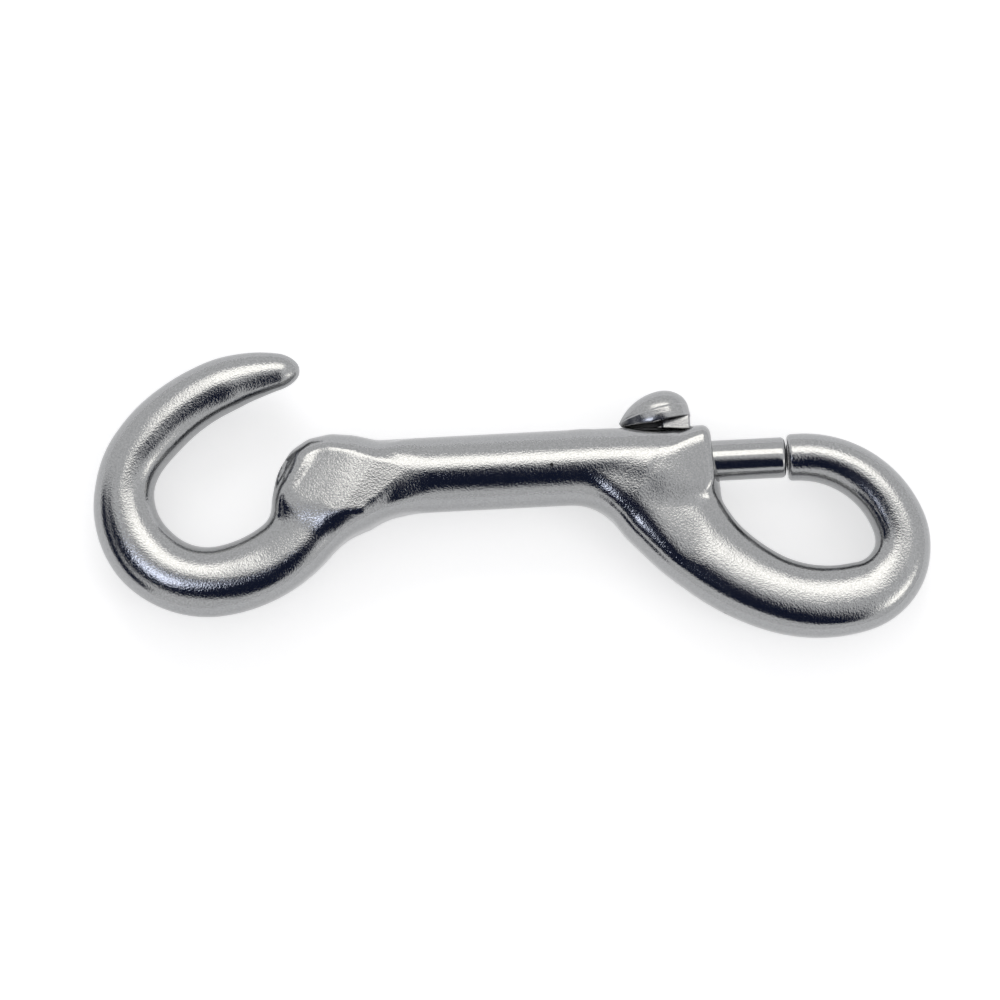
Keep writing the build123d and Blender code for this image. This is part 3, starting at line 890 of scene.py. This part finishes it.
def card(name, centre, right, up, level):
    """A card that only reflections see."""
    made = plane(name, centre, right, up, glow(name + "_face", level))
    made.visible_camera = made.visible_diffuse = made.visible_shadow = False
    return made


def sight(tree):
    """One for camera, glossy and transmission rays, nought for others: what is seen, directly or in metal."""
    path = node(tree, "ShaderNodeLightPath")
    mirrored = node(tree, "ShaderNodeMath", operation="MAXIMUM")
    seen = node(tree, "ShaderNodeMath", operation="MAXIMUM")
    wire(tree, (path.outputs["Is Glossy Ray"], mirrored.inputs[0]),
         (path.outputs["Is Transmission Ray"], mirrored.inputs[1]),
         (path.outputs["Is Camera Ray"], seen.inputs[0]), (mirrored.outputs[0], seen.inputs[1]))
    return seen.outputs[0]


# %% [markdown]
# ## The floor
# The floor is matt white paper. A little of its own light is added where it is seen, by the camera or in the
# metal. That makes it white without a stronger lamp, which would wash out the snap's soft shadow.

# %% Floor
FLOOR_LIFT = 0.46  # what is added to the lit floor where it is seen
FLOOR_GAP = 0.0001  # in metres, under the snap's lowest point
floor_paper = bpy.data.materials.new("floor_paper")
floor_paper.use_nodes = True
paper = floor_paper.node_tree
paper_shader = paper.nodes["Principled BSDF"]
paper_shader.inputs["Base Color"].default_value = (0.86, 0.86, 0.87, 1)
paper_shader.inputs["Roughness"].default_value = 0.9
lift = node(paper, "ShaderNodeEmission", Strength=FLOOR_LIFT)
lit = node(paper, "ShaderNodeAddShader")
choose = node(paper, "ShaderNodeMixShader")
wire(paper, (paper_shader.outputs[0], lit.inputs[0]), (lift.outputs[0], lit.inputs[1]),
     (paper_shader.outputs[0], choose.inputs[1]), (lit.outputs[0], choose.inputs[2]),
     (sight(paper), choose.inputs[0]),
     (choose.outputs[0], paper.nodes["Material Output"].inputs["Surface"]))
floor = plane("floor", (0, 0, cad_box[0][2] - FLOOR_GAP), (1.5, 0, 0), (0, 1.5, 0), floor_paper)
print("floor at", round(floor.data.vertices[0].co.z * 1000, 2), "mm")

# %% [markdown]
# ## What the metal mirrors
# A large dark card overhead, like a person leaning over the table, gives the dark bands. A bright card
# beside it gives the light line along the barrel, a pale one greys to the right, and a small bluish one the
# cold glint in the hook's dark band. They are level, and 356 to 360 mm up. Three smaller cards, 104 to 125 mm
# up, stand for near things: a near card shows at another place in the hook than in the loop, so each mends
# one stretch of the casting. The last one is upright, far off on the left. Only the metal sees the cards:
# they cast no shadow, and the camera looks through them.


# %% Cards that only the metal sees
def outline_card(name, height, outline, level):
    """A level card of any outline, at a height over the floor; sizes in millimetres."""
    made = card(name, (0, 0, 0), (1, 0, 0), (0, 1, 0), level)
    made.data.clear_geometry()
    corners = [(x / 1000, y / 1000, height / 1000) for x, y in outline]
    made.data.from_pydata(corners, [], [range(len(corners))])
    return made


NIGHT = (0.016, 0.022, 0.05)
WALL = (1.1, 1.1, 1.1)
DAYLIGHT = (3.0, 2.93, 2.76)
SKYLIGHT = (3.4, 3.6, 4.2)
outline_card("dark_overhead", 360, [
    (-110, 10), (-40, 40), (30, 30), (62, -60), (130, -170), (200, -310), (235, -430), (300, -600),
    (330, -760), (60, -720), (0, -600), (-100, -470), (-330, -400), (-500, -300), (-620, -60),
    (-560, 180), (-430, 130), (-300, 20), (-180, -40)], NIGHT)
outline_card("dark_near", 105, [(-22, -12), (14, -14), (18, -60), (10, -112), (-32, -112)], NIGHT)
outline_card("dark_beside", 104, [(-7, -2), (5, -1), (26, -48), (6, -48)], NIGHT)
outline_card("bright_overhead", 358, [
    (-98, 175), (-90, 82), (-50, 88), (22, 78), (60, 96), (110, 80), (200, 100), (210, 300), (60, 330),
    (-20, 320), (-60, 350), (-170, 340), (-150, 230)], DAYLIGHT)
outline_card("pale_overhead", 356, [
    (205, 90), (215, -60), (190, -150), (260, -210), (430, -170), (410, 60)], WALL)
outline_card("bright_near", 125, [(120, -55), (235, -45), (245, -115), (180, -145), (125, -110)], DAYLIGHT)
outline_card("bright_spot", 357, [
    (-95, -22), (-240, -60), (-270, -110), (-190, -165), (-125, -92), (-95, -50)], SKYLIGHT)
card("dark_left", (-0.8, -0.28, 0.26), (0, 0.53, 0), (0, 0, 0.16), NIGHT)

# %% [markdown]
# ## Lamps and world
# Two lamps light the floor alone, a wide one from behind and a small one from the right, and give the snap
# its soft shadow. The metal doesn't mirror them, since the cards already say what it shows. The world fills
# in evenly, and is seen as white.


# %% Lamps and world
def soft_box(name, place, aim, size, watts):
    """Rectangular area lamp at a place, turned to face its aim and hidden from reflections."""
    lamp = bpy.data.lights.new(name, "AREA")
    lamp.shape, lamp.size, lamp.size_y, lamp.energy = "RECTANGLE", *size, watts
    made = bpy.data.objects.new(name, lamp)
    bpy.context.scene.collection.objects.link(made)
    from_aim = Vector(place) - Vector(aim)
    made.location = place
    made.rotation_euler = from_aim.to_track_quat("Z", "Y").to_euler()
    made.visible_glossy = False
    print(name, "lamp gives", watts, "W")


soft_box("window", (-0.02, 0.44, 0.30), (0, 0, 0), (0.36, 0.19), 0.6)
soft_box("fill", (0.27, -0.14, 0.2), (0.03, -0.01, 0), (0.12, 0.12), 0.12)

ROOM_LIGHT = 0.62
world = bpy.data.worlds.new("studio")
bpy.context.scene.world = world
world.use_nodes = True
sky = world.node_tree
sky.nodes.clear()
room_light = node(sky, "ShaderNodeBackground", Color=(1, 1, 1, 1), Strength=ROOM_LIGHT)
white = node(sky, "ShaderNodeBackground", Color=(1, 1, 1, 1), Strength=1.0)
blend = node(sky, "ShaderNodeMixShader")
wire(sky, (sight(sky), blend.inputs[0]),
     (room_light.outputs[0], blend.inputs[1]), (white.outputs[0], blend.inputs[2]),
     (blend.outputs[0], node(sky, "ShaderNodeOutputWorld").inputs["Surface"]))

# %% [markdown]
# ## Camera
# The snap lies on its side, so the camera looks down on it, a little from the side away from the knob, with
# a long lens so that both ends look the same size.

# %% Camera
ELEVATION, ROLL = math.radians(80), math.radians(-2.86)
AIM = Vector((-0.00136, -0.00055, 0.005))
VIEW_WIDTH, DISTANCE = 0.132, 0.5  # metres seen across, and metres away
lens = bpy.data.cameras.new("camera")
lens.lens = lens.sensor_width * DISTANCE / VIEW_WIDTH
lens.clip_start, lens.clip_end = 0.01, 20
camera = bpy.data.objects.new("camera", lens)
bpy.context.scene.collection.objects.link(camera)
towards = Vector((0, -math.cos(ELEVATION), math.sin(ELEVATION)))
turn = towards.to_track_quat("Z", "Y").to_matrix() @ Matrix.Rotation(ROLL, 3, "Z")
camera.location = AIM + towards * DISTANCE
camera.rotation_euler = turn.to_euler()
bpy.context.scene.camera = camera
bpy.context.scene.view_settings.view_transform = "Standard"
print("lens of", round(lens.lens, 1), "mm")
